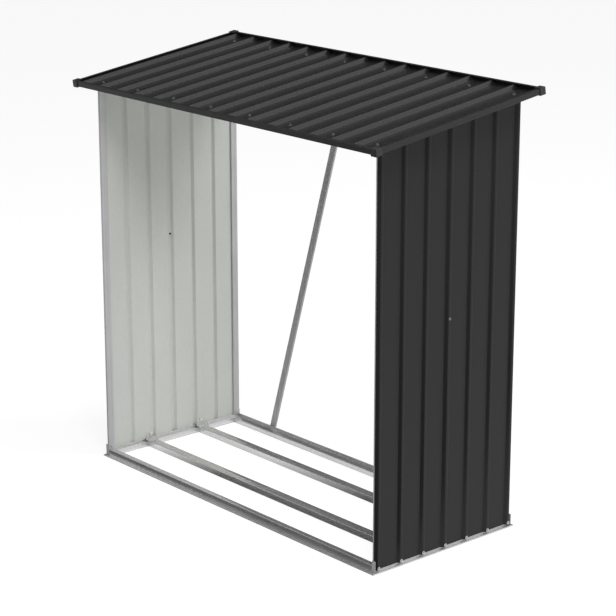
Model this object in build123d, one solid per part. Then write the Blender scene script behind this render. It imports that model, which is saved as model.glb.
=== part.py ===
from build123d import *
from math import cos, radians, sin, tan
import os

# A metal log store: a pressed base frame, two ribbed side walls and a ribbed single-pitch roof.
# Millimetres, X to the right, Y to the back, Z up, origin on the ground under the middle of the roof.

# Plan of the roof over its corner caps, and how far it overhangs the base
roof_width = 1850.0
roof_depth = 874.0
side_overhang = 59.0
front_overhang = 63.0
rear_overhang = 46.6

# Height of the front edge trim's underside above the ground, and the rise to the back
front_eaves_height = 1627.0
roof_slope = 8.0

# Sheet metal, and the gap left between pieces that slide together
rail_gauge = 1.2
sheet_gauge = 1.0
bend_radius = 2.2
fold_radius = 1.0
seat_gap = 0.2

# Base rail, from outside in: a low foot, a folded upstand, then a top that falls to the inner face
rail_foot = 14.0
foot_height = 6.0
foot_return = 11.0
upstand_height = 32.0
upstand_width = 5.0
rail_height = 24.0
rail_width = 41.0
side_rail_width = 20.0
rail_fall = 3.0
rail_fall_width = 15.0

# Floor rails: a ridged channel, and end tongues that taper as they climb to the walls
floor_rail_spread = 282.0
floor_rail_height = 28.0
floor_rail_width = 41.0
floor_rail_ridge = 2.0
tongue_root = 66.0
tongue_width = 32.0
tongue_step = 7.0
tongue_rise = 9.0
tongue_flange = 16.0

# Ribbed sheets: bays, ribs and the margin from the sheet's edge to the end rib
wall_bays = 6
wall_bays_per_sheet = 3
wall_rib_margin = 16.0
wall_rib_height = 10.0
roof_bays = 15
roof_bays_per_sheet = 3
roof_rib_margin = 32.5
roof_rib_height = 15.0
rib_foot = 28.0
rib_crest = 10.0
rib_radius = 3.0
lap_lip = 8.0
wall_foot_gap = 7.5

# Upright edge posts, wall top rails and roof beams
post_width = 32.0
post_depth = 6.0
top_rail_width = 30.0
top_rail_height = 28.0
beam_width = 32.0
beam_height = 28.0

# Roof edge trims and corner caps
trim_face = 22.0
trim_lip = 14.0
trim_under = 20.0
cap_size = 30.0
cap_wall = 2.5
cap_top = 3.5
cap_round = 3.0
cap_edge = 1.2

# Brackets in the base corners
bracket_gauge = 1.5
bracket_height = 52.0
bracket_face = 19.0
bracket_leg = 27.0

# Rear brace: where its centre line meets the base and the rear roof beam, left of the middle
brace_width = 30.0
brace_leg = 10.0
brace_gauge = 1.5
brace_foot_x = -620.0
brace_head_x = -95.0

# Places worked out from the sizes above
pitch_angle = radians(roof_slope)
base_width = roof_width - 2 * side_overhang
half_base = base_width / 2
cap_height = trim_face + 2 * (seat_gap + cap_top)
cap_base = -rail_gauge - seat_gap - cap_top
roof_middle_y = (cap_base + cap_height / 2) * sin(pitch_angle)
deck_rise = roof_depth / 2 * sin(pitch_angle) + rail_gauge * cos(pitch_angle)
deck_height = front_eaves_height + deck_rise
cap_lean = cap_height * sin(pitch_angle)
roof_front_y = -(roof_depth * cos(pitch_angle) + cap_lean) / 2
base_front_y = roof_front_y + front_overhang
base_rear_y = -roof_front_y - rear_overhang
base_depth = base_rear_y - base_front_y
base_middle_y = (base_front_y + base_rear_y) / 2
wall_front_y = base_front_y + rail_foot
wall_rear_y = base_rear_y - rail_foot
wall_face_x = half_base - rail_foot
lap_lift = sheet_gauge + seat_gap
fold_seat = foot_height + fold_radius + seat_gap
wall_foot_z = foot_height + wall_foot_gap
deck_frame = Plane(
    origin=(0, roof_middle_y, deck_height),
    x_dir=(1, 0, 0),
    z_dir=(0, -sin(pitch_angle), cos(pitch_angle)),
)


def deck_level(y):
    """Height of the underside of the roof sheets at a distance y."""
    return deck_height + (y - roof_middle_y) * tan(pitch_angle)


def bent_line(corners, radii):
    """Edges through the corners, rounded at each corner whose radius isn't 0."""
    edges = []
    run = [corners[0]]
    run_radii = []
    for corner, radius in zip(corners[1:], [*radii, 0]):
        run.append(corner)
        if radius:
            run_radii.append(radius)
        else:
            path = FilletPolyline(*run, radius=run_radii) if run_radii else Line(*run)
            edges += path.edges()
            run = [corner]
            run_radii = []
    return edges


def bent_strip(corners, radii, gauge):
    """Section of a bent strip: the corners run along one face, with the metal to their left."""
    face_side = [Vector(*corner) for corner in corners]
    headings = [(after - before).normalized() for before, after in zip(face_side, face_side[1:])]
    normals = [Vector(-heading.Y, heading.X) for heading in headings]
    metal_side = [face_side[0] + normals[0] * gauge]
    metal_radii = []
    for corner, before, after, radius in zip(face_side[1:], normals, normals[1:], radii):
        metal_side.append(corner + (before + after) * (gauge / (1 + before.dot(after))))
        turn = -gauge if before.cross(after).Z > 0 else gauge
        metal_radii.append(radius + turn if radius else 0)
    metal_side.append(face_side[-1] + normals[-1] * gauge)
    ends = [Line(face_side[0], metal_side[0]), Line(face_side[-1], metal_side[-1])]
    return make_face([*bent_line(face_side, radii), *bent_line(metal_side, metal_radii), *ends])


def along_x(section, length):
    """Bar of a (y, z) section, centred on X."""
    return extrude(Plane.YZ * section, length / 2, both=True)


def along_y(section, length):
    """Bar of an (x, z) section, centred on Y."""
    return extrude(Plane.XZ * section, length / 2, both=True)


def below_deck(piece, drop=seat_gap):
    """The part of a piece that stays a drop below the roof sheets."""
    return split(piece, deck_frame.offset(-drop), keep=Keep.BOTTOM)


def right_hand(piece):
    """The right-hand twin of a left-hand piece."""
    return mirror(piece, about=Plane.YZ)


# Base

def base_rail(length, top):
    """Base rail along X with the outer face of its foot on y = 0, given its top from inside outwards."""
    corners = [
        (top[0][0], 0),
        *top,
        (rail_foot + upstand_width, rail_height),
        (rail_foot + upstand_width, upstand_height),
        (rail_foot, upstand_height),
        (rail_foot, foot_height),
        (0, foot_height),
        (0, 0),
        (foot_return, 0),
    ]
    radii = [bend_radius] * len(top) + [fold_radius, bend_radius, bend_radius, fold_radius] + [bend_radius] * 2
    bar = along_x(bent_strip(corners, radii, rail_gauge), length)
    half = length / 2 - seat_gap
    mitre = rail_foot + side_rail_width
    right_end = [(half, 0), (half - mitre, mitre), (half - mitre, rail_foot + rail_width)]
    left_end = [(-x, y) for x, y in reversed(right_end)]
    plan = make_face(Polyline(*right_end, *left_end, close=True))
    return bar & extrude(plan, upstand_height, both=True)


def base_rails():
    """The four rails of the base frame; the side ones are narrower and their tops are level."""
    inner = rail_foot + rail_width
    fall = [(inner, rail_height - rail_fall), (inner - rail_fall_width, rail_height)]
    across = base_rail(base_width, fall)
    along = base_rail(base_depth, [(rail_foot + side_rail_width, rail_height)])
    return {
        "base_front_rail": Pos(0, base_front_y, 0) * across,
        "base_rear_rail": Pos(0, base_rear_y, 0) * Rot(0, 0, 180) * across,
        "base_left_rail": Pos(-half_base, base_middle_y, 0) * Rot(0, 0, -90) * along,
        "base_right_rail": Pos(half_base, base_middle_y, 0) * Rot(0, 0, 90) * along,
    }


def floor_rail():
    """Ridged floor rail whose ends flare, climb over the side rails and turn up against the walls."""
    reach = half_base - rail_foot - side_rail_width - seat_gap
    half_width = floor_rail_width / 2
    shoulder = floor_rail_height - floor_rail_ridge
    corners = [
        (half_width, 0),
        (half_width, shoulder),
        (0, floor_rail_height),
        (-half_width, shoulder),
        (-half_width, 0),
    ]
    bar = along_x(bent_strip(corners, [bend_radius] * 3, rail_gauge), 2 * reach)
    under = floor_rail_height - rail_gauge
    root_x = reach - 2 * tongue_step
    turn_z = upstand_height + tongue_rise
    path = [
        (root_x - tongue_step, under),
        (root_x, under),
        (wall_face_x, turn_z),
        (wall_face_x, turn_z + tongue_flange),
    ]
    plate = along_y(bent_strip(path, [bend_radius] * 2, rail_gauge), tongue_root)
    half_root = tongue_root / 2
    half_tip = tongue_width / 2
    outline = Polyline(
        (root_x - tongue_step, half_width),
        (reach, half_root),
        (wall_face_x, half_tip),
        (wall_face_x, -half_tip),
        (reach, -half_root),
        (root_x - tongue_step, -half_width),
        close=True,
    )
    tongue = plate & extrude(make_face(outline), turn_z + tongue_flange)
    return bar + tongue + right_hand(tongue)


def floor_rails():
    """The two floor rails."""
    rail = floor_rail()
    offset_y = floor_rail_spread / 2
    return {
        "floor_rail_front": Pos(0, base_middle_y - offset_y, 0) * rail,
        "floor_rail_rear": Pos(0, base_middle_y + offset_y, 0) * rail,
    }


def corner_bracket():
    """Bracket of the front left corner: one leg before the rail and post, one inside the post."""
    leg_x = -wall_face_x + rail_gauge + post_depth + 2 * seat_gap
    face_y = wall_front_y - seat_gap - bracket_gauge
    corners = [
        (leg_x + bracket_gauge - bracket_face, face_y),
        (leg_x + bracket_gauge, face_y),
        (leg_x + bracket_gauge, face_y + bracket_leg),
    ]
    angle = bent_strip(corners, [bend_radius], bracket_gauge)
    plate = Pos(0, 0, fold_seat) * extrude(angle, bracket_height - fold_seat)
    rail_room = Pos(leg_x, wall_front_y + bracket_leg, 0) * Box(
        4 * bracket_face, 2 * bracket_leg, 2 * (upstand_height + seat_gap)
    )
    return plate - rail_room


def corner_brackets():
    """The four brackets, mirrored from the front left one."""
    front_left = corner_bracket()
    rear_left = mirror(front_left, about=Plane.XZ.offset(-base_middle_y))
    return {
        "base_bracket_front_left": front_left,
        "base_bracket_front_right": right_hand(front_left),
        "base_bracket_rear_left": rear_left,
        "base_bracket_rear_right": right_hand(rear_left),
    }


# Ribbed sheets

def rib_corners(centre, height, lift):
    """Corners and radii of one rib, with a rounded crest; a lift carries it over the rib below."""
    run = (rib_foot - rib_crest) / 2
    lean = run / height
    spread = lift * (1 + lean ** 2) ** 0.5
    foot_half = rib_foot / 2 + spread
    crest_half = foot_half - (height + lift) * lean
    corners = [
        (centre - foot_half, 0),
        (centre - crest_half, height + lift),
        (centre + crest_half, height + lift),
        (centre + foot_half - lift * lean, lift),
    ]
    return corners, [0, rib_radius + lift, rib_radius + lift, 0]


def ribbed_section(start, ribs, end, height, over_last):
    """Section of a ribbed sheet; with no start it begins under its neighbour's last rib."""
    corners = []
    radii = []
    for rib in ribs:
        lift = lap_lift if over_last and rib == ribs[-1] else 0
        rib_points, rib_radii = rib_corners(rib, height, lift)
        corners += rib_points
        radii += rib_radii
    if start is None:
        radii = radii[1:]
    else:
        corners = [(start, 0)] + corners
    corners.append((end, corners[-1][1]))
    return bent_strip(corners, radii, sheet_gauge)


def ribbed_sheets(start, first_rib, pitch, bays, per_sheet, end, height):
    """Sections of the sheets of one face, each lapped over the next one's first rib."""
    sections = []
    for first in range(0, bays, per_sheet):
        last = min(first + per_sheet, bays)
        ribs = [first_rib + pitch * index for index in range(first, last + 1)]
        over_last = last < bays
        sheet_end = ribs[-1] + rib_foot / 2 + lap_lip if over_last else end
        sheet_start = start if first == 0 else None
        sections.append(ribbed_section(sheet_start, ribs, sheet_end, height, over_last))
    return sections


def wall_sheets():
    """Ribbed wall sheets screwed to the outside of the side rails' upstands, with raked tops."""
    pitch = (wall_rear_y - wall_front_y - 2 * wall_rib_margin) / wall_bays
    sections = ribbed_sheets(
        wall_front_y, wall_front_y + wall_rib_margin, pitch, wall_bays, wall_bays_per_sheet,
        wall_rear_y, wall_rib_height,
    )
    nodes = {}
    for name, section in zip(("front", "rear"), sections):
        tall = extrude(section, deck_level(wall_rear_y) - wall_foot_z)
        placed = Pos(-wall_face_x - seat_gap, 0, wall_foot_z) * Rot(0, 0, 90) * tall
        sheet = below_deck(placed)
        nodes[f"left_wall_{name}_sheet"] = sheet
        nodes[f"right_wall_{name}_sheet"] = right_hand(sheet)
    return nodes


def roof_sheets():
    """Ribbed roof sheets whose edges sit inside the edge trims."""
    edge_inset = cap_wall + bend_radius + 2 * seat_gap
    edge = roof_width / 2 - edge_inset
    first_rib = roof_rib_margin - roof_width / 2
    pitch = -2 * first_rib / roof_bays
    length = roof_depth - 2 * edge_inset
    sections = ribbed_sheets(
        -edge, first_rib, pitch, roof_bays, roof_bays_per_sheet, edge, roof_rib_height,
    )
    return {
        f"roof_sheet_{index}": deck_frame * along_y(section, length)
        for index, section in enumerate(sections, start=1)
    }


# Frame of the walls and roof

def edge_post():
    """Front left post: a shallow channel open to the wall sheet, from base rail to top rail."""
    outer_x = -wall_face_x + rail_gauge + seat_gap
    inner_x = outer_x + post_depth
    rear_y = wall_front_y + post_width
    corners = [
        (outer_x, wall_front_y),
        (inner_x, wall_front_y),
        (inner_x, rear_y),
        (outer_x, rear_y),
    ]
    section = bent_strip(corners, [bend_radius, bend_radius], rail_gauge)
    foot_z = upstand_height + seat_gap
    return Pos(0, 0, foot_z) * extrude(section, deck_level(wall_rear_y) - foot_z)


def edge_posts():
    """The four posts; each is cut to its own height under the sloping top rail."""
    post = edge_post()
    rear_post = mirror(post, about=Plane.XZ.offset(-base_middle_y))
    nodes = {}
    for name, tall in (("front", post), ("rear", rear_post)):
        left = below_deck(tall, rail_gauge + fold_radius)
        nodes[f"post_{name}_left"] = left
        nodes[f"post_{name}_right"] = right_hand(left)
    return nodes


def top_rails():
    """Inverted channels along the tops of the walls, with upright ends."""
    outer_x = -wall_face_x + rail_gauge
    inner_x = -wall_face_x + top_rail_width - rail_gauge
    corners = [
        (outer_x, -top_rail_height),
        (outer_x, -rail_gauge),
        (inner_x, -rail_gauge),
        (inner_x, -top_rail_height),
    ]
    section = bent_strip(corners, [fold_radius, fold_radius], rail_gauge)
    rail = deck_frame * along_y(section, roof_depth)
    rail = split(rail, Plane.XZ.offset(-wall_front_y), keep=Keep.BOTTOM)
    rail = split(rail, Plane.XZ.offset(-wall_rear_y), keep=Keep.TOP)
    return {"left_top_rail": rail, "right_top_rail": right_hand(rail)}


def roof_beam(front_y):
    """Beam between the top rails: upright legs under a sloping top, ends closed by folded flaps."""
    reach = wall_face_x - top_rail_width - seat_gap
    near_y = front_y + rail_gauge
    far_y = front_y + beam_width - rail_gauge
    top_gauge = rail_gauge / cos(pitch_angle)
    foot_z = deck_level(front_y) - beam_height
    corners = [
        (near_y, foot_z),
        (near_y, deck_level(near_y) - top_gauge),
        (far_y, deck_level(far_y) - top_gauge),
        (far_y, foot_z),
    ]
    bar = along_x(bent_strip(corners, [fold_radius, fold_radius], rail_gauge), 2 * reach)
    flap_face = make_face(Polyline(*corners, close=True))
    flap = Pos(-reach, 0, 0) * extrude(Plane.YZ * flap_face, rail_gauge)
    return bar + flap + right_hand(flap)


def roof_beams():
    """Front and rear roof beams, flush with the wall edges."""
    return {
        "front_roof_beam": roof_beam(wall_front_y),
        "rear_roof_beam": roof_beam(wall_rear_y - beam_width),
    }


# Roof edge

def edge_trim(length):
    """Mitred trim along X with its outer face on y = 0, open inwards over the sheet edges."""
    top = trim_face - rail_gauge
    corners = [(trim_lip, top), (0, top), (0, -rail_gauge), (trim_under, -rail_gauge)]
    bar = along_x(bent_strip(corners, [bend_radius, bend_radius], rail_gauge), length)
    for side in (-1, 1):
        corner = (side * (length / 2 - seat_gap), 0, 0)
        bar = split(bar, Plane(origin=corner, z_dir=(side, 1, 0)), keep=Keep.BOTTOM)
    return bar


def roof_trims():
    """Front, rear, left and right edge trims."""
    inset = cap_wall + seat_gap
    half_x = roof_width / 2 - inset
    half_y = roof_depth / 2 - inset
    across = edge_trim(2 * half_x)
    along = edge_trim(2 * half_y)
    return {
        "roof_front_trim": deck_frame * Pos(0, -half_y, 0) * across,
        "roof_rear_trim": deck_frame * Pos(0, half_y, 0) * Rot(0, 0, 180) * across,
        "roof_left_trim": deck_frame * Pos(-half_x, 0, 0) * Rot(0, 0, -90) * along,
        "roof_right_trim": deck_frame * Pos(half_x, 0, 0) * Rot(0, 0, 90) * along,
    }


def corner_cap():
    """Moulded cap of the front left corner: two walls, a top and a bottom around the trims."""
    low = (Align.MIN, Align.MIN, Align.MIN)
    block = Pos(0, 0, cap_base) * Box(cap_size, cap_size, cap_height, align=low)
    upright = block.edges().filter_by(Axis.Z).sort_by(lambda edge: edge.center().X + edge.center().Y)
    block = fillet(upright[0], cap_round)
    open_side = cap_size - cap_round
    rim = block.faces().sort_by(Axis.Z)[-1].edges().filter_by(
        lambda edge: edge.center().X < open_side and edge.center().Y < open_side
    )
    block = chamfer(rim, cap_edge)
    hollow = Pos(cap_wall, cap_wall, cap_base + cap_top) * Box(
        cap_size, cap_size, cap_height - 2 * cap_top, align=low
    )
    return block - hollow


def corner_caps():
    """The four caps, mirrored from the front left one."""
    front_left = Pos(-roof_width / 2, -roof_depth / 2, 0) * corner_cap()
    rear_left = mirror(front_left, about=Plane.XZ)
    return {
        "roof_cap_front_left": deck_frame * front_left,
        "roof_cap_front_right": deck_frame * right_hand(front_left),
        "roof_cap_rear_left": deck_frame * rear_left,
        "roof_cap_rear_right": deck_frame * right_hand(rear_left),
    }


# Rear brace

def rear_brace():
    """Angle flat against the rear faces of the base rail and the roof beam."""
    head_z = deck_level(wall_rear_y)
    foot = Vector(brace_foot_x, 0, 0)
    head = Vector(brace_head_x, 0, head_z)
    length = (head - foot).length
    half = brace_width / 2
    corners = [(-half, 0), (half, 0), (half, brace_leg)]
    section = bent_strip(corners, [bend_radius], brace_gauge)
    axis = Plane(origin=foot - (head - foot) * (brace_width / length), x_dir=(1, 0, 0), z_dir=head - foot)
    bar = extrude(axis * section, length + 2 * brace_width)
    bar = Pos(0, wall_rear_y + seat_gap, 0) * bar
    bar = split(bar, Plane.XY.offset(fold_seat), keep=Keep.TOP)
    return {"rear_brace": below_deck(bar, 2 * rail_gauge)}


parts = {
    **base_rails(),
    **floor_rails(),
    **corner_brackets(),
    **wall_sheets(),
    **edge_posts(),
    **top_rails(),
    **roof_beams(),
    **roof_sheets(),
    **roof_trims(),
    **corner_caps(),
    **rear_brace(),
}

os.makedirs("parts", exist_ok=True)
for node, solid in parts.items():
    export_step(solid, f"parts/{node}.step")
    box = solid.bounding_box()
    print(node, len(solid.solids()), box.min, box.max)
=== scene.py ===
"""Visual model of a ribbed metal log store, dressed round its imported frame.

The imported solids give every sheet, rail, trim and cap. This script gives them their finishes,
adds the screws, washers and seals that hold them together, and sets the studio and the camera.
Lengths are metres, X to the right, Y to the back, Z up, with the origin on the ground. A finish
gives the scale of each of its patterns in waves a metre.
"""

import logging
import math
from dataclasses import dataclass, field
from enum import Enum
from typing import Callable, Dict, List, Optional, Sequence, Tuple

import bpy
import numpy as np
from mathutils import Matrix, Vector


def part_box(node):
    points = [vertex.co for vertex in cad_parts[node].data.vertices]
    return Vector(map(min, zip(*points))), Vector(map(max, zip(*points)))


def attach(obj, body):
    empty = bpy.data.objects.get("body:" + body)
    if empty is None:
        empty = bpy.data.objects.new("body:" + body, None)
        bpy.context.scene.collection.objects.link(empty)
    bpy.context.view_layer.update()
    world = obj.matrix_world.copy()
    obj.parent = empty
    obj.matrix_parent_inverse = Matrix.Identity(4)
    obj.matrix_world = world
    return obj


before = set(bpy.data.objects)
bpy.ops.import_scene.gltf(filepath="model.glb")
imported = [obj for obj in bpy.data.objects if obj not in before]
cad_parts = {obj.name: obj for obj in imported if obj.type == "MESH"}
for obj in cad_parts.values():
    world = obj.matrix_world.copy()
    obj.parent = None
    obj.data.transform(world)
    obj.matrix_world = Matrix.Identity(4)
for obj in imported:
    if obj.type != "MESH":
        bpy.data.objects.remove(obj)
log = logging.getLogger("log_store")

Socket = bpy.types.NodeSocket
Material = bpy.types.Material
Rgb = Tuple[float, float, float]
Point = Tuple[float, float, float]
Pair = Tuple[float, float]

# Largest angle in degrees that a hexagon's faces are shaded smooth over
HEX_SMOOTH = 25.0
# Corners of a square of half-width one, in order round it
SQUARE = ((-1.0, -1.0), (1.0, -1.0), (1.0, 1.0), (-1.0, 1.0))


class Slot(Enum):
    """Material slot names of the record, which no added piece uses."""

    GALVANISED = "galvanised_steel"
    CAP = "cap_plastic"


class Axis(Enum):
    """Object axis that a finish reads, as its place in a vector."""

    X = 0
    Y = 1
    Z = 2


class NodeSheet:
    """Small helper that adds and joins shader nodes of one material."""

    def __init__(self, name: str) -> None:
        """Starts an empty node tree.

        Args:
            name: Name of the material.
        """
        self.material = bpy.data.materials.new(name)
        self.material.use_nodes = True
        self.tree = self.material.node_tree
        self.tree.nodes.clear()

    def add(self, kind: str, **values: object) -> bpy.types.Node:
        """Adds a node and sets its own properties.

        Args:
            kind: Type of the node, without its common beginning.
            values: Properties of the node by name.

        Returns:
            The new node.
        """
        node = self.tree.nodes.new("ShaderNode" + kind)
        for key, value in values.items():
            setattr(node, key, value)
        return node

    def link(self, source: Socket, target: Socket) -> None:
        """Joins one socket to another."""
        self.tree.links.new(source, target)

    def place(self) -> Socket:
        """Returns the object coordinates that every pattern is laid on."""
        return self.add("TexCoord").outputs["Object"]

    def stretched(self, scale: Sequence[float]) -> Socket:
        """Stretches the object coordinates.

        Args:
            scale: Factor on X, Y and Z.

        Returns:
            The coordinates multiplied on each axis.
        """
        mapping = self.add("Mapping")
        mapping.inputs["Scale"].default_value = scale
        self.link(self.place(), mapping.inputs["Vector"])
        return mapping.outputs["Vector"]

    def noise(self, vector: Socket, scale: float, detail: float) -> Socket:
        """Adds a noise.

        Args:
            vector: Coordinates that it lies on.
            scale: Waves a metre.
            detail: Number of finer octaves.

        Returns:
            A value from 0 to 1, mostly between 0.35 and 0.65.
        """
        node = self.add("TexNoise")
        node.inputs["Scale"].default_value = scale
        node.inputs["Detail"].default_value = detail
        self.link(vector, node.inputs["Vector"])
        return node.outputs["Fac"]

    def spread(self, value: Socket, low: float, high: float,
               start: float = 0.35, end: float = 0.65) -> Socket:
        """Carries a value from one range to another, and holds it within the new one.

        Args:
            value: What is carried.
            low: Result at the start of the range.
            high: Result at its end.
            start: Start of the range, which is by default where a noise has its low values.
            end: End of the range.

        Returns:
            The result, which changes evenly between low and high.
        """
        node = self.add("MapRange")
        node.inputs["From Min"].default_value = start
        node.inputs["From Max"].default_value = end
        node.inputs["To Min"].default_value = low
        node.inputs["To Max"].default_value = high
        self.link(value, node.inputs["Value"])
        return node.outputs["Result"]

    def varied(self, value: Socket, middle: float, change: Pair) -> Socket:
        """Returns a noise carried to the range middle + change[0] to middle + change[1]."""
        return self.spread(value, middle + change[0], middle + change[1])

    def math(self, kind: str, first: object, second: object = 0.0) -> Socket:
        """Adds one step of arithmetic.

        Args:
            kind: Name of the operation.
            first: A number or a socket.
            second: A number or a socket.

        Returns:
            Its result.
        """
        node = self.add("Math", operation=kind)
        for socket, value in zip(node.inputs, (first, second)):
            if isinstance(value, Socket):
                self.link(value, socket)
            else:
                socket.default_value = value
        return node.outputs["Value"]

    def blend(self, fac: Socket, first: object, second: object) -> Socket:
        """Mixes two colours.

        Args:
            fac: Share of the second colour.
            first: A colour or a socket.
            second: A colour or a socket.

        Returns:
            The colour first + (second - first) fac.
        """
        node = self.add("Mix", data_type="RGBA")
        self.link(fac, node.inputs[0])
        for socket, value in zip((node.inputs[6], node.inputs[7]), (first, second)):
            if isinstance(value, Socket):
                self.link(value, socket)
            else:
                socket.default_value = (*value, 1.0)
        return node.outputs[2]

    def shaded(self, colour: Socket, fac: Socket) -> Socket:
        """Makes a colour lighter or darker.

        Args:
            colour: The colour.
            fac: Its factor, where 1 leaves the colour as it is.

        Returns:
            The colour multiplied by the factor.
        """
        node = self.add("VectorMath", operation="SCALE")
        self.link(colour, node.inputs[0])
        self.link(fac, node.inputs["Scale"])
        return node.outputs["Vector"]

    def flat(self, colour: Rgb) -> Socket:
        """Adds a plain colour.

        Args:
            colour: The colour.

        Returns:
            A socket that patterns start from.
        """
        node = self.add("RGB")
        node.outputs[0].default_value = (*colour, 1.0)
        return node.outputs[0]

    def facing(self, axis: Axis) -> Socket:
        """Reads the object's own surface normal.

        Args:
            axis: Axis that is read.

        Returns:
            The normal's part on that axis, from -1 to 1.
        """
        split = self.add("SeparateXYZ")
        self.link(self.add("TexCoord").outputs["Normal"], split.inputs[0])
        return split.outputs[axis.value]

    def bump(self, height: Socket, distance: float) -> Socket:
        """Adds a relief.

        Args:
            height: Height from 0 to 1.
            distance: Depth of the relief in metres.

        Returns:
            The surface normal that the relief gives.
        """
        node = self.add("Bump")
        node.inputs["Distance"].default_value = distance
        node.inputs["Strength"].default_value = 1.0
        self.link(height, node.inputs["Height"])
        return node.outputs["Normal"]

    def surface(self, **sockets: object) -> Material:
        """Ends the material in one principled surface.

        Args:
            sockets: Inputs of the surface, with underscores for spaces, as numbers or sockets.

        Returns:
            The material.
        """
        shader = self.add("BsdfPrincipled")
        for key, value in sockets.items():
            socket = shader.inputs[key.replace("_", " ")]
            if isinstance(value, Socket):
                self.link(value, socket)
            elif isinstance(value, tuple):
                socket.default_value = (*value, 1.0)
            else:
                socket.default_value = value
        output = self.add("OutputMaterial")
        self.link(shader.outputs[0], output.inputs["Surface"])
        return self.material


@dataclass(frozen=True)
class GalvanisedFinish:
    """Galvanised sheet with faint rolling streaks, slow clouds and a trace of spangle.

    Along is the direction of rolling, and dull is the colour where the zinc has weathered.
    """

    name: str
    along: Axis
    colour: Rgb = (0.70, 0.695, 0.70)
    dull: Rgb = (0.56, 0.555, 0.56)
    metal: float = 0.72
    roughness: float = 0.25
    cells_a_metre: float = 75.0
    streaks_across: float = 90.0
    streaks_along: float = 0.8
    clouds: float = 7.0
    spangle_share: float = 0.08
    streak_share: float = 0.6
    cloud_share: float = 0.32
    spangle_change: Pair = (-0.005, 0.01)
    streak_change: Pair = (-0.03, 0.05)
    spangle_height: float = 0.1
    relief: float = 0.000004

    def material(self) -> Material:
        """Builds the finish: spangle, streak and cloud add up to the share of the dull colour.

        Returns:
            The material.
        """
        sheet = NodeSheet(self.name)
        cells = sheet.add("TexVoronoi")
        cells.inputs["Scale"].default_value = self.cells_a_metre
        sheet.link(sheet.place(), cells.inputs["Vector"])
        tint = sheet.add("SeparateXYZ")
        sheet.link(cells.outputs["Color"], tint.inputs[0])
        spangle = tint.outputs[0]
        stretch = [self.streaks_across] * 3
        stretch[self.along.value] = self.streaks_along
        streak = sheet.noise(sheet.stretched(stretch), 1.0, detail=2.0)
        cloud = sheet.noise(sheet.place(), self.clouds, detail=3.0)
        share = sheet.math("MULTIPLY", spangle, self.spangle_share)
        share = sheet.math("ADD", share, sheet.spread(streak, 0.0, self.streak_share))
        share = sheet.math("ADD", share, sheet.spread(cloud, 0.0, self.cloud_share))
        rough = sheet.math(
            "ADD", sheet.spread(spangle, *self.spangle_change, start=0.0, end=1.0),
            sheet.varied(streak, self.roughness, self.streak_change),
        )
        height = sheet.math("ADD", sheet.math("MULTIPLY", spangle, self.spangle_height), streak)
        return sheet.surface(
            Base_Color=sheet.blend(share, self.colour, self.dull), Metallic=self.metal,
            Roughness=rough, Normal=sheet.bump(height, self.relief),
        )


@dataclass(frozen=True)
class CoilCoatFinish:
    """Coil-coated sheet: colour coat one side, backing coat the other, bare metal at cut edges.

    Facing is the axis through the sheet, and outward is the sign on it of the colour coat's side.
    """

    name: str
    colour: Rgb
    backing: Rgb
    facing: Axis
    outward: float
    roughness: float
    gloss: float
    edge: float = 0.04
    steel: Rgb = (0.10, 0.10, 0.105)
    clouds: float = 4.0
    dust: float = 55.0
    peel: float = 900.0
    tone_change: Pair = (-0.015, 0.015)
    cloud_change: Pair = (-0.03, 0.03)
    dust_change: Pair = (-0.04, 0.06)
    relief: float = 0.00003

    def material(self) -> Material:
        """Builds the finish: the sign of the surface normal on one axis picks the coat.

        Where the normal's part on that axis is smaller than edge, the cut steel shows.

        Returns:
            The material.
        """
        sheet = NodeSheet(self.name)
        side = sheet.math("MULTIPLY", sheet.facing(self.facing), self.outward)
        outer = sheet.math("GREATER_THAN", side, 0.0)
        cut = sheet.math("LESS_THAN", sheet.math("ABSOLUTE", side), self.edge)
        cloud = sheet.noise(sheet.place(), self.clouds, detail=4.0)
        dust = sheet.noise(sheet.place(), self.dust, detail=5.0)
        tone = sheet.math(
            "ADD", sheet.varied(cloud, 0.0, self.tone_change),
            sheet.varied(dust, 1.0, self.tone_change),
        )
        coats = sheet.shaded(sheet.blend(outer, self.backing, self.colour), tone)
        peel = sheet.noise(sheet.place(), self.peel, detail=2.0)
        rough = sheet.math(
            "ADD", sheet.varied(dust, 0.0, self.dust_change),
            sheet.varied(cloud, self.roughness, self.cloud_change),
        )
        return sheet.surface(
            Base_Color=sheet.blend(cut, coats, self.steel), Roughness=rough,
            Specular_IOR_Level=self.gloss, Metallic=0.0, Normal=sheet.bump(peel, self.relief),
        )


@dataclass(frozen=True)
class MouldedFinish:
    """Moulded plastic, rubber or powder coat with a fine grain."""

    name: str
    colour: Rgb
    roughness: float
    gloss: float
    grain: float = 1400.0
    flow: float = 38.0
    flow_stretch: Point = (1.0, 1.0, 3.0)
    flow_change: Pair = (-0.14, 0.16)
    grain_change: Pair = (-0.05, 0.08)
    relief: float = 0.00006

    def material(self) -> Material:
        """Builds the finish: grain in the relief and slow flow marks in the colour.

        Returns:
            The material.
        """
        sheet = NodeSheet(self.name)
        grain = sheet.noise(sheet.place(), self.grain, detail=2.0)
        flow = sheet.noise(sheet.stretched(self.flow_stretch), self.flow, detail=4.0)
        tone = sheet.varied(flow, 1.0, self.flow_change)
        colour = sheet.shaded(sheet.flat(self.colour), tone)
        rough = sheet.varied(grain, self.roughness, self.grain_change)
        return sheet.surface(
            Base_Color=colour, Roughness=rough, Specular_IOR_Level=self.gloss,
            Normal=sheet.bump(grain, self.relief),
        )


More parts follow.
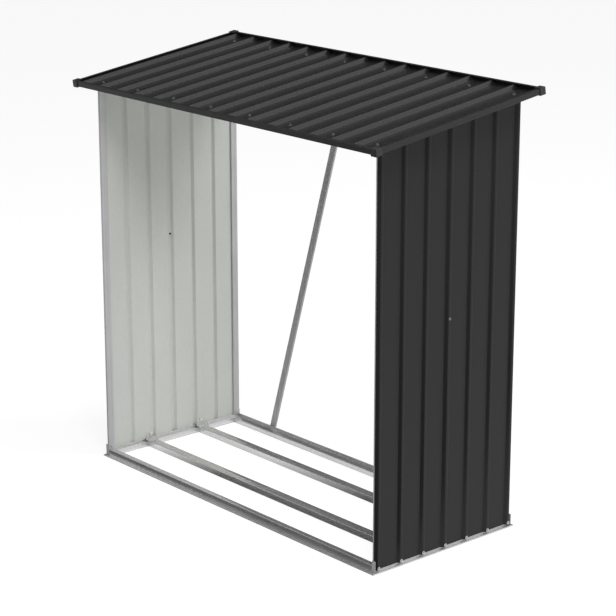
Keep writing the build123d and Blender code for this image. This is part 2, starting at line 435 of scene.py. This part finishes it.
@dataclass(frozen=True)
class PlatedFinish:
    """Zinc-plated fixing with fine turning marks."""

    name: str
    colour: Rgb = (0.62, 0.62, 0.60)
    roughness: float = 0.33
    marks: float = 1600.0
    bloom: float = 260.0
    bloom_change: Pair = (-0.2, 0.1)
    mark_change: Pair = (-0.05, 0.12)
    relief: float = 0.00002

    def material(self) -> Material:
        """Builds the finish: a slow bloom in the colour and fine marks in roughness and relief.

        Returns:
            The material.
        """
        sheet = NodeSheet(self.name)
        marks = sheet.noise(sheet.place(), self.marks, detail=3.0)
        bloom = sheet.noise(sheet.place(), self.bloom, detail=3.0)
        tone = sheet.varied(bloom, 1.0, self.bloom_change)
        return sheet.surface(
            Base_Color=sheet.shaded(sheet.flat(self.colour), tone), Metallic=1.0,
            Roughness=sheet.varied(marks, self.roughness, self.mark_change),
            Normal=sheet.bump(marks, self.relief),
        )


def grid_piece(name: str, points: np.ndarray, material: Material,
               smooth: float = 35.0) -> None:
    """Adds one piece of many closed grids that share a shape, and rides it on the store.

    Each grid is a stack of rings: point (k, i, j) is copy k, ring i and step j round the ring.
    Quads join ring i to ring i + 1, and one many-sided face closes the first and the last ring.

    Args:
        name: Name of the object.
        points: Array of copies, rings, steps round a ring, and X, Y, Z.
        material: Finish of the piece.
        smooth: Largest angle in degrees that is still shaded smooth.
    """
    copies, rings, steps, _ = points.shape
    index = np.arange(copies * rings * steps).reshape(copies, rings, steps)
    after = np.roll(index, -1, axis=2)
    corners = [index[:, :-1], after[:, :-1], after[:, 1:], index[:, 1:]]
    quads = np.stack(corners, axis=-1).reshape(-1, 4)
    bottoms = index[:, 0, ::-1].reshape(-1, steps)
    tops = index[:, -1, :].reshape(-1, steps)
    faces = quads.tolist() + bottoms.tolist() + tops.tolist()
    mesh = bpy.data.meshes.new(name)
    mesh.from_pydata(points.reshape(-1, 3).tolist(), [], faces)
    mesh.validate()
    mesh.materials.append(material)
    mesh.shade_smooth()
    mesh.set_sharp_from_angle(angle=math.radians(smooth))
    piece = bpy.data.objects.new(name, mesh)
    bpy.context.scene.collection.objects.link(piece)
    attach(piece, "root")
    log.info("%s: %d faces", piece.name, len(piece.data.polygons))


def turned(seats: np.ndarray, normals: np.ndarray, profile: Sequence[Pair],
           steps: int = 18, sides: int = 0, flat_from: int = 0) -> np.ndarray:
    """Turns one profile round many axes at once.

    Ring i lies at height h[i] along the axis with radius r[i]. From the ring flat_from on, a ring
    with sides is a polygon inside its circle: its radius at angle t is
    r cos(sector / 2) / cos(t mod sector - sector / 2).

    Args:
        seats: Points where the fixings sit, one a row.
        normals: Outward axes, one a row.
        profile: Radius and height of each ring, from the seat outwards.
        steps: Steps round a ring.
        sides: Sides of the polygon, or 0 for round rings.
        flat_from: First ring that is a polygon.

    Returns:
        Array of copies, rings, steps round a ring, and X, Y, Z.
    """
    normals = normals / np.linalg.norm(normals, axis=1, keepdims=True)
    helper = np.where(np.abs(normals[:, 2:3]) < 0.9, [[0.0, 0.0, 1.0]], [[0.0, 1.0, 0.0]])
    right = np.cross(helper, normals)
    right /= np.linalg.norm(right, axis=1, keepdims=True)
    up = np.cross(normals, right)
    angle = np.linspace(0.0, 2 * np.pi, steps, endpoint=False)
    shape = np.array(profile)
    radius = np.repeat(shape[:, :1], steps, axis=1)
    if sides:
        sector = 2 * np.pi / sides
        radius[flat_from:] *= np.cos(sector / 2) / np.cos(np.mod(angle, sector) - sector / 2)
    across = radius * np.cos(angle)
    along = radius * np.sin(angle)
    return (
        seats[:, None, None, :]
        + across[None, :, :, None] * right[:, None, None, :]
        + along[None, :, :, None] * up[:, None, None, :]
        + shape[None, :, 1, None, None] * normals[:, None, None, :]
    )


@dataclass
class HexScrew:
    """Self-drilling screw: a flanged hexagon head over a domed metal washer and a rubber seal."""

    head_radius: float = 0.0040
    head_height: float = 0.0034
    flange_radius: float = 0.0052
    flange_height: float = 0.0006
    washer_radius: float = 0.0072
    washer_height: float = 0.0012
    seal_height: float = 0.0010
    sunk: float = 0.0002

    def build(self, name: str, seats: Sequence[Point], normals: Sequence[Point],
              plated: Material, rubber: Material) -> None:
        """Builds the heads, and the washers with their seals, of one row.

        Each part is a profile of radius and height, turned round the screw's axis.

        Args:
            name: Start of the pieces' names.
            seats: Points on the sheet under each screw.
            normals: Outward directions of the screws.
            plated: Finish of the head and the metal washer.
            rubber: Finish of the seal.
        """
        at = np.array(seats, float)
        out = np.array(normals, float)
        seal_top = self.seal_height
        dish = seal_top + self.washer_height
        flange = dish + self.flange_height
        top = flange + self.head_height
        seal = turned(at, out, [
            (self.washer_radius * 0.96, -self.sunk), (self.washer_radius, seal_top * 0.5),
            (self.washer_radius * 0.95, seal_top),
        ])
        washer = turned(at, out, [
            (self.washer_radius * 0.97, seal_top * 0.95), (self.washer_radius, seal_top + 0.0003),
            (self.washer_radius * 0.8, dish - 0.0001), (self.flange_radius * 0.98, dish),
        ])
        head = turned(at, out, [
            (self.flange_radius, dish - self.sunk), (self.flange_radius, dish + 0.0004),
            (self.head_radius * 1.04, flange), (self.head_radius, flange + 0.0001),
            (self.head_radius, top - 0.0005), (self.head_radius * 0.88, top),
            (self.head_radius * 0.6, top), (self.head_radius * 0.55, top - 0.0004),
        ], sides=6, flat_from=3)
        grid_piece(f"{name}_seals", seal, rubber)
        grid_piece(f"{name}_washers", washer, plated)
        grid_piece(f"{name}_heads", head, plated, HEX_SMOOTH)


@dataclass
class PanScrew:
    """Small round-headed screw. Its square recess is not cut but painted shade: a flat black
    square on the head.

    Rim is the share of the head's height that its edge has, arc the dome's angle in radians.
    """

    radius: float = 0.0042
    height: float = 0.0024
    recess: float = 0.0017
    rim: float = 0.15
    arc: float = 1.25
    rings: int = 6

    def build(self, name: str, seats: Sequence[Point], normals: Sequence[Point],
              plated: Material, dark: Material) -> None:
        """Builds a row of domed heads, each with a black square on top that paints the shade of
        its recess.

        At angle a the dome has radius r cos(a) and height h (rim + (1 - rim) sin(a) / sin(arc)).

        Args:
            name: Start of the pieces' names.
            seats: Points under each screw.
            normals: Outward directions of the screws.
            plated: Finish of the head.
            dark: Black finish of the square that paints the recess's shade.
        """
        at = np.array(seats, float)
        out = np.array(normals, float)
        angle = np.linspace(0.0, 1.0, self.rings) * self.arc
        rise = self.rim + (1.0 - self.rim) * np.sin(angle) / math.sin(self.arc)
        dome = np.column_stack((self.radius * np.cos(angle), self.height * rise))
        head = turned(at, out, np.vstack(((self.radius, -0.0001), dome)))
        # No hole is cut: a flat black square stands just proud of the dome's top as painted shade
        # of the recess.
        square = turned(at, out, [
            (self.recess, self.height * 0.9), (self.recess, self.height + 0.00005),
        ], steps=4, sides=4)
        grid_piece(f"{name}_heads", head, plated)
        grid_piece(f"{name}_recess_shades", square, dark)


@dataclass
class Studio:
    """Pale floor, white surround, dark cards, soft lamps and the camera of the photograph.

    The camera's numbers were solved from the photograph: angles in degrees, lens and sensor in
    millimetres. Strengths of the sky and of the floor are shares of white.
    """

    eye: Point = (6.191, -5.3258, 3.1679)
    yaw: float = 49.0035
    pitch: float = 16.2415
    lens: float = 122.25
    sensor: float = 36.0
    sky: float = 0.50
    sky_low: float = 0.12
    sky_from: Point = (0.58, 0.30, 0.76)
    sky_start: float = -0.45
    floor_reach: float = 60.0
    floor_drop: float = 0.0008
    floor_pale: Rgb = (0.90, 0.90, 0.90)
    floor_seen: Rgb = (0.30, 0.30, 0.30)
    floor_glow: float = 0.82
    card_level: float = -0.0004
    card_grey: Rgb = (0.02, 0.02, 0.02)
    card_strip: float = 0.08
    card_front: float = -3.2
    card_right: float = 0.84
    ridge_inset: float = 0.012
    lamp_side: float = 2.6
    lamp_aim: Point = (-0.8, 0.0, 0.2)
    key_at: Point = (3.0, -2.6, 6.5)
    key_watts: float = 200.0
    rear_at: Point = (2.8, 3.0, 6.2)
    rear_watts: float = 210.0

    def build(self) -> None:
        """Builds floor, world, cards, lamps and camera."""
        self.floor()
        self.world()
        self.cards()
        self.lamps()
        self.camera()
        bpy.context.scene.view_settings.view_transform = "Standard"

    def seen(self, tree: bpy.types.NodeTree) -> Socket:
        """Tells the rays that show the floor or the world itself from those that only light.

        Args:
            tree: Node tree that asks.

        Returns:
            1 for camera, glossy and transmission rays, and 0 for the others.
        """
        path = tree.nodes.new("ShaderNodeLightPath")
        first = tree.nodes.new("ShaderNodeMath")
        second = tree.nodes.new("ShaderNodeMath")
        for node in (first, second):
            node.operation = "MAXIMUM"
        tree.links.new(path.outputs["Is Camera Ray"], first.inputs[0])
        tree.links.new(path.outputs["Is Glossy Ray"], first.inputs[1])
        tree.links.new(first.outputs[0], second.inputs[0])
        tree.links.new(path.outputs["Is Transmission Ray"], second.inputs[1])
        return second.outputs[0]

    def floor(self) -> None:
        """Lays a pale floor that shows white and keeps the store's shadow.

        Light meets a pale face. The camera meets a darker one with a glow, which add up to white.
        """
        mesh = bpy.data.meshes.new("studio_floor")
        reach = self.floor_reach
        corners = [(x * reach, y * reach, -self.floor_drop) for x, y in SQUARE]
        mesh.from_pydata(corners, [], [(0, 1, 2, 3)])
        material = bpy.data.materials.new("studio_floor")
        material.use_nodes = True
        tree = material.node_tree
        tree.nodes.clear()
        pale = tree.nodes.new("ShaderNodeBsdfDiffuse")
        pale.inputs["Color"].default_value = (*self.floor_pale, 1.0)
        thin = tree.nodes.new("ShaderNodeBsdfDiffuse")
        thin.inputs["Color"].default_value = (*self.floor_seen, 1.0)
        glow = tree.nodes.new("ShaderNodeEmission")
        glow.inputs["Strength"].default_value = self.floor_glow
        total = tree.nodes.new("ShaderNodeAddShader")
        mix = tree.nodes.new("ShaderNodeMixShader")
        output = tree.nodes.new("ShaderNodeOutputMaterial")
        tree.links.new(thin.outputs[0], total.inputs[0])
        tree.links.new(glow.outputs[0], total.inputs[1])
        tree.links.new(self.seen(tree), mix.inputs[0])
        tree.links.new(pale.outputs[0], mix.inputs[1])
        tree.links.new(total.outputs[0], mix.inputs[2])
        tree.links.new(mix.outputs[0], output.inputs["Surface"])
        mesh.materials.append(material)
        piece = bpy.data.objects.new("studio_floor", mesh)
        bpy.context.scene.collection.objects.link(piece)

    def world(self) -> None:
        """Sets a surround that shows white and whose light is strongest from the upper right.

        Its strength grows from sky_low to sky with the cosine between a direction and sky_from.
        """
        world = bpy.data.worlds.new("studio_world")
        bpy.context.scene.world = world
        world.use_nodes = True
        tree = world.node_tree
        tree.nodes.clear()
        light = tree.nodes.new("ShaderNodeBackground")
        toward = tree.nodes.new("ShaderNodeVectorMath")
        toward.operation = "DOT_PRODUCT"
        toward.inputs[1].default_value = self.sky_from
        ramp = tree.nodes.new("ShaderNodeMapRange")
        ramp.inputs["From Min"].default_value = self.sky_start
        ramp.inputs["From Max"].default_value = 1.0
        ramp.inputs["To Min"].default_value = self.sky_low
        ramp.inputs["To Max"].default_value = self.sky
        place = tree.nodes.new("ShaderNodeTexCoord")
        tree.links.new(place.outputs["Generated"], toward.inputs[0])
        tree.links.new(toward.outputs["Value"], ramp.inputs["Value"])
        tree.links.new(ramp.outputs["Result"], light.inputs["Strength"])
        white = tree.nodes.new("ShaderNodeBackground")
        white.inputs["Strength"].default_value = 1.0
        for background in (light, white):
            background.inputs["Color"].default_value = (1.0, 1.0, 1.0, 1.0)
        mix = tree.nodes.new("ShaderNodeMixShader")
        output = tree.nodes.new("ShaderNodeOutputWorld")
        tree.links.new(self.seen(tree), mix.inputs[0])
        tree.links.new(light.outputs[0], mix.inputs[1])
        tree.links.new(white.outputs[0], mix.inputs[2])
        tree.links.new(mix.outputs[0], output.inputs["Surface"])

    def cards(self) -> None:
        """Places dark cards out of the camera's sight: only reflections show them.

        Two stand upright, in front and at the rear left. Four lie on the floor: two before the
        store, and one narrow strip before the ridge of each floor rail.
        """
        far, right = self.card_front, self.card_right
        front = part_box("base_front_rail")[0][1]
        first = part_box("floor_rail_front")[0][1] + self.ridge_inset
        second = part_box("floor_rail_rear")[0][1] + self.ridge_inset
        wide = {"near": front, "deep": front - far}
        self.upright_card("front_card", start=(-3.8, far), end=(3.0, far), top=4.0)
        self.lying_card("front_floor_card", left=-1.9, right=right, **wide)
        self.lying_card("right_floor_card", left=right, right=3.4, **wide)
        strip = {"right": right, "deep": self.card_strip}
        self.lying_card("first_rail_card", left=-0.80, near=first, fade=0.45, **strip)
        self.lying_card("second_rail_card", left=-0.35, near=second, fade=0.6, **strip)
        self.upright_card("rear_left_card", start=(-7.5, -0.5), end=(-0.6, 7.4), top=9.0)

    def upright_card(self, name: str, start: Pair, end: Pair, top: float) -> None:
        """Stands one card upright on the line from start to end, up to the height of top."""
        low = self.card_level
        self.card(name, [(*start, low), (*end, low), (*end, top), (*start, top)])

    def lying_card(self, name: str, left: float, right: float, near: float, deep: float,
                   fade: float = 0.0) -> None:
        """Lays one card on the floor.

        Args:
            name: Name of the card.
            left: Its left edge on X.
            right: Its right edge on X.
            near: Its edge on Y that is near the store.
            deep: Its depth from there towards the front.
            fade: Length on X, from the left edge, of the change from clear to dark.
        """
        far, low = near - deep, self.card_level
        corners = [(left, far, low), (right, far, low), (right, near, low), (left, near, low)]
        self.card(name, corners, (left, left + fade) if fade else None)

    def card(self, name: str, corners: List[Point], fade: Optional[Pair] = None) -> None:
        """Makes one dark card that neither lights nor shades the store.

        Args:
            name: Name of the card.
            corners: Its four corners in order.
            fade: Start and end on X of the card's change from clear to dark, if it has one.
        """
        sheet = NodeSheet(name)
        share: object = 1.0
        if fade:
            split = sheet.add("SeparateXYZ")
            sheet.link(sheet.place(), split.inputs[0])
            share = sheet.spread(split.outputs[0], 0.0, 1.0, *fade)
        mesh = bpy.data.meshes.new(name)
        mesh.from_pydata(corners, [], [(0, 1, 2, 3)])
        dark = sheet.surface(Base_Color=self.card_grey, Roughness=0.9, Alpha=share)
        mesh.materials.append(dark)
        piece = bpy.data.objects.new(name, mesh)
        bpy.context.scene.collection.objects.link(piece)
        piece.visible_camera = False
        piece.visible_diffuse = False
        piece.visible_shadow = False

    def lamp(self, name: str, at: Point, watts: float) -> None:
        """Hangs one soft square lamp that faces the store.

        Args:
            name: Name of the lamp.
            at: Place of its middle.
            watts: Power.
        """
        data = bpy.data.lights.new(name, "AREA")
        data.shape = "RECTANGLE"
        data.size = data.size_y = self.lamp_side
        data.energy = watts
        lamp = bpy.data.objects.new(name, data)
        bpy.context.scene.collection.objects.link(lamp)
        lamp.location = at
        view = Vector(self.lamp_aim) - Vector(at)
        lamp.rotation_euler = view.to_track_quat("-Z", "Y").to_euler()
        lamp.visible_camera = False
        lamp.visible_glossy = False

    def lamps(self) -> None:
        """Hangs one lamp in front on the right and one behind on the right."""
        self.lamp("key_lamp", self.key_at, self.key_watts)
        self.lamp("rear_lamp", self.rear_at, self.rear_watts)

    def camera(self) -> None:
        """Sets the camera: yaw and pitch turn the view direction, with no roll and no shift."""
        data = bpy.data.cameras.new("photo_camera")
        data.lens = self.lens
        data.sensor_width = self.sensor
        data.clip_end = 200.0
        camera = bpy.data.objects.new("photo_camera", data)
        bpy.context.scene.collection.objects.link(camera)
        camera.location = self.eye
        camera.rotation_euler = (math.radians(90.0 - self.pitch), 0.0, math.radians(self.yaw))
        bpy.context.scene.camera = camera


@dataclass
class Finishes:
    """The materials of the store, made once and kept by a short name."""

    charcoal: Rgb = (0.018, 0.0182, 0.0187)
    wall_charcoal: Rgb = (0.016, 0.0161, 0.0166)
    off_white: Rgb = (0.655, 0.675, 0.635)
    cap_black: Rgb = (0.022, 0.022, 0.023)
    rubber_black: Rgb = (0.02, 0.02, 0.02)
    zinc_grey: Rgb = (0.31, 0.31, 0.315)
    made: Dict[str, Material] = field(default_factory=dict)

    def build(self) -> None:
        """Builds every material once."""
        self.made = {
            "steel_x": GalvanisedFinish("galvanised_along_x", along=Axis.X).material(),
            "steel_y": GalvanisedFinish("galvanised_along_y", along=Axis.Y).material(),
            "post": GalvanisedFinish(
                "galvanised_post", along=Axis.Z,
                colour=(0.60, 0.595, 0.61), dull=(0.47, 0.465, 0.48),
                metal=0.25, roughness=0.42, cells_a_metre=45.0,
            ).material(),
            "brace": GalvanisedFinish(
                "galvanised_brace", along=Axis.Z,
                colour=(0.46, 0.46, 0.465), dull=(0.38, 0.38, 0.385),
                metal=0.35, roughness=0.38, cells_a_metre=60.0,
            ).material(),
            **{
                f"wall_{side}": CoilCoatFinish(
                    f"wall_coat_{side}", self.wall_charcoal, self.off_white,
                    facing=Axis.X, outward=sign, roughness=0.34, gloss=0.21,
                ).material()
                for side, sign in (("left", -1.0), ("right", 1.0))
            },
            "dull": PlatedFinish("dulled_zinc", self.zinc_grey, roughness=0.42).material(),
            "roof": CoilCoatFinish(
                "roof_coat", self.charcoal, self.off_white, facing=Axis.Z, outward=1.0,
                roughness=0.28, gloss=0.55,
            ).material(),
            "trim": MouldedFinish(
                "trim_coat", self.charcoal, roughness=0.45, gloss=0.32, grain=900.0,
            ).material(),
            "cap": MouldedFinish(
                "cap_mould", self.cap_black, roughness=0.5, gloss=0.45,
            ).material(),
            "rubber": MouldedFinish(
                "seal_rubber_and_recess_shade", self.rubber_black, roughness=0.8, gloss=0.2, grain=2500.0,
            ).material(),
            "plated": PlatedFinish("zinc_plating").material(),
        }

    def dress(self) -> None:
        """Puts a finish on every node of the frame."""
        side_rails = ("base_left_rail", "base_right_rail", "left_top_rail", "right_top_rail")
        choices: List[Tuple[Callable[[str], bool], str]] = [
            (lambda node: node.startswith("left_wall"), "wall_left"),
            (lambda node: node.startswith("right_wall"), "wall_right"),
            (lambda node: node.startswith("roof_sheet"), "roof"),
            (lambda node: node.startswith("roof_cap"), "cap"),
            (lambda node: node.endswith("_trim"), "trim"),
            (lambda node: node in side_rails, "steel_y"),
            (lambda node: node.startswith(("post_", "base_bracket")), "post"),
            (lambda node: node == "rear_brace", "brace"),
            (lambda node: True, "steel_x"),
        ]
        for name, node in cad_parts.items():
            key = next(finish for test, finish in choices if test(name))
            node.data.materials.clear()
            node.data.materials.append(self.made[key])
        log.info("dressed %d nodes", len(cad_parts))


@dataclass
class RoofFixings:
    """Two rows of hexagon screws in the pans of every other roof bay.

    Rows are the places on Y, and middle is a point on Y and Z of the pans' lower face.
    """

    slope: float = math.radians(8.0)
    bays: int = 15
    bay_width: float = 0.119
    rows: Pair = (-0.3418, 0.3582)
    middle: Pair = (0.001364, 1.689007)
    gauge: float = 0.001
    screw: HexScrew = field(default_factory=HexScrew)

    def build(self, finishes: Finishes) -> None:
        """Builds the screws: bay i has its middle at (i - (bays - 1) / 2) bay widths.

        Args:
            finishes: Materials of the store.
        """
        columns = self.bay_width * (np.arange(0, self.bays, 2) - (self.bays - 1) / 2)
        normal = (0.0, -math.sin(self.slope), math.cos(self.slope))
        dull, rubber = finishes.made["dull"], finishes.made["rubber"]
        for row, y in zip(("front", "rear"), self.rows):
            seats = [(x, y, self.deck(y)) for x in columns]
            self.screw.build(f"roof_screw_{row}", seats, [normal] * len(seats), dull, rubber)

    def deck(self, y: float) -> float:
        """Returns the pans' upper face at y: z0 + (y - y0) tan(slope) + gauge / cos(slope)."""
        y0, z0 = self.middle
        return z0 + (y - y0) * math.tan(self.slope) + self.gauge / math.cos(self.slope)


@dataclass
class WallFixings:
    """Screws through the feet of the rib crests, and one bolt half-way up each lapped rib.

    A crest lies outside the sheet's inner face by its gauge and the rib's height, and the lapped
    rib by the lap's lift more. Levels are heights of the fixings.
    """

    ribs: int = 7
    rib_margin: float = 0.016
    rib_height: float = 0.010
    gauge: float = 0.001
    lap_lift: float = 0.0012
    foot_level: float = 0.0215
    lap_level: float = 0.935
    foot_screw: HexScrew = field(default_factory=lambda: HexScrew(washer_radius=0.0066))
    lap_bolt: HexScrew = field(default_factory=lambda: HexScrew(
        head_radius=0.0034, head_height=0.0026, flange_radius=0.0042, washer_radius=0.0056,
    ))
    nut_radius: float = 0.0044
    nut_height: float = 0.0040
    bolt_radius: float = 0.0024
    bolt_length: float = 0.0085

    def build(self, finishes: Finishes) -> None:
        """Builds the screws of both walls, whose ribs are evenly spaced between the margins.

        Args:
            finishes: Materials of the store.
        """
        plated, dull, rubber = (finishes.made[key] for key in ("plated", "dull", "rubber"))
        for side, sign in (("left", -1.0), ("right", 1.0)):
            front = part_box(f"{side}_wall_front_sheet")
            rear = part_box(f"{side}_wall_rear_sheet")
            start = front[0][1] + self.rib_margin
            end = rear[1][1] - self.rib_margin
            places = np.linspace(start, end, self.ribs)
            inner = min(abs(front[0][0]), abs(front[1][0]))
            crest = inner + self.gauge + self.rib_height
            lap = self.ribs // 2
            lifts = np.where(np.arange(self.ribs) == lap, self.lap_lift, 0.0)
            crests = sign * (crest + lifts)
            feet = [(x, y, self.foot_level) for x, y in zip(crests, places)]
            bolt = [(crests[lap], places[lap], self.lap_level)]
            inside = [(sign * (crest - self.gauge), places[lap], self.lap_level)]
            out = (sign, 0.0, 0.0)
            self.foot_screw.build(f"{side}_wall_screw", feet, [out] * self.ribs, plated, rubber)
            self.lap_bolt.build(f"{side}_wall_lap_bolt", bolt, [out], dull, rubber)
            self.nut(f"{side}_wall_lap_nut", inside, [(-sign, 0.0, 0.0)], rubber)

    def nut(self, name: str, seats: Sequence[Point], normals: Sequence[Point],
            dark: Material) -> None:
        """Builds hexagon nuts on bolt ends: a chamfered block, then a round end.

        Args:
            name: Start of the pieces' names.
            seats: Points where the bolts leave the sheet.
            normals: Directions of the bolts there.
            dark: Finish of nut and bolt end.
        """
        at = np.array(seats)
        out = np.array(normals)
        chamfer = 0.0004
        small = self.nut_radius - chamfer
        block = turned(at, out, [
            (small, -0.0002), (small, 0.0001), (self.nut_radius, 0.0005),
            (self.nut_radius, self.nut_height - chamfer), (small, self.nut_height),
        ], sides=6)
        end = turned(at, out, [
            (self.bolt_radius, self.nut_height - 0.0002),
            (self.bolt_radius, self.bolt_length - 0.0006),
            (self.bolt_radius - 0.0006, self.bolt_length),
        ])
        grid_piece(f"{name}_block", block, dark, HEX_SMOOTH)
        grid_piece(f"{name}_end", end, dark)


@dataclass
class BaseFixings:
    """Round-headed screws of the floor rails' end tongues and the corner brackets.

    Levels are heights of the screws, and the inset is from the bracket's outer edge on Y.
    """

    tongue_level: float = 0.0495
    tongue_gauge: float = 0.0012
    tongue_screw: PanScrew = field(default_factory=PanScrew)
    bracket_level: float = 0.042
    bracket_inset: float = 0.012
    bracket_screw: PanScrew = field(
        default_factory=lambda: PanScrew(radius=0.0036, height=0.0020),
    )

    def build(self, finishes: Finishes) -> None:
        """Builds the screws, each on the face of the piece that it holds.

        Args:
            finishes: Materials of the store.
        """
        # The black seal rubber also paints the shade of the screws' square recesses.
        plated, dark = finishes.made["plated"], finishes.made["rubber"]
        seats: List[Point] = []
        normals: List[Point] = []
        for rail in ("floor_rail_front", "floor_rail_rear"):
            low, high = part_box(rail)
            middle = (low[1] + high[1]) / 2
            for sign, edge in ((-1.0, low[0]), (1.0, high[0])):
                seats.append((edge - sign * self.tongue_gauge, middle, self.tongue_level))
                normals.append((-sign, 0.0, 0.0))
        self.tongue_screw.build("tongue_screw", seats, normals, plated, dark)
        seats, normals = [], []
        for place in ("front_left", "front_right", "rear_left", "rear_right"):
            low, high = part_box(f"base_bracket_{place}")
            inner_x, sign = (high[0], -1.0) if "left" in place else (low[0], 1.0)
            outer_y, out = (low[1], 1.0) if "front" in place else (high[1], -1.0)
            seats.append((inner_x, outer_y + out * self.bracket_inset, self.bracket_level))
            normals.append((-sign, 0.0, 0.0))
        self.bracket_screw.build("bracket_screw", seats, normals, plated, dark)


@dataclass
class BraceFixings:
    """Hexagon screws that hold the brace to the rear rail and the rear beam, from behind.

    Foot and head are points on X and Z of the brace's centre line. Levels are the screws' heights.
    """

    foot: Pair = (-0.620, 0.0)
    head: Pair = (-0.095, 1.7417)
    levels: Pair = (0.0190, 1.7255)
    gauge: float = 0.0015
    screw: HexScrew = field(default_factory=lambda: HexScrew(washer_radius=0.0062))

    def build(self, finishes: Finishes) -> None:
        """Builds the screws on the brace's centre line: x = x0 + (x1 - x0) z / z1.

        Args:
            finishes: Materials of the store.
        """
        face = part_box("rear_brace")[0][1] + self.gauge
        lean = (self.head[0] - self.foot[0]) / self.head[1]
        seats = [(self.foot[0] + lean * level, face, level) for level in self.levels]
        normals = [(0.0, 1.0, 0.0)] * len(seats)
        plated, rubber = finishes.made["plated"], finishes.made["rubber"]
        self.screw.build("brace_screw", seats, normals, plated, rubber)


def main() -> None:
    """Builds the store in order: studio, finishes, then each family of fixings."""
    logging.basicConfig(level=logging.INFO, format="%(name)s: %(message)s")
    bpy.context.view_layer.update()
    Studio().build()
    finishes = Finishes()
    finishes.build()
    finishes.dress()
    RoofFixings().build(finishes)
    WallFixings().build(finishes)
    BaseFixings().build(finishes)
    BraceFixings().build(finishes)


if __name__ == "__main__":
    main()
